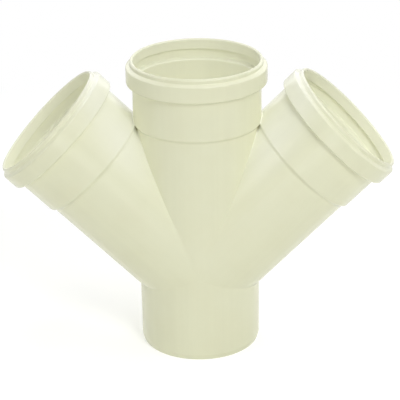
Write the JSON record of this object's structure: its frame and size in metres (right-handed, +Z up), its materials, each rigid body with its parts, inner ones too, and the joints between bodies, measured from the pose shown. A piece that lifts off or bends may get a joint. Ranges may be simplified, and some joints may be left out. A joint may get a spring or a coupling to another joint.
{
  "type": "double wye",
  "caption": "Moulded plastic drain fitting that joins a branch from each side into a straight run, with ring-seal sockets at the inlets and a plain chamfered spigot at the outlet.",
  "frame": {"origin": "centre of the spigot's end face, which is the centre of the bounding box's bottom", "axes": "+Z up the run's axis towards the run socket's mouth, +X in the plane of the branches towards the right branch, +Y to the back"},
  "size_m": [0.3546, 0.1264, 0.2735],
  "materials": {
    "cream_plastic": "satin"
  },
  "bodies": {
    "root": {"double_wye_body": "cream_plastic"}
  },
  "joints": []
}
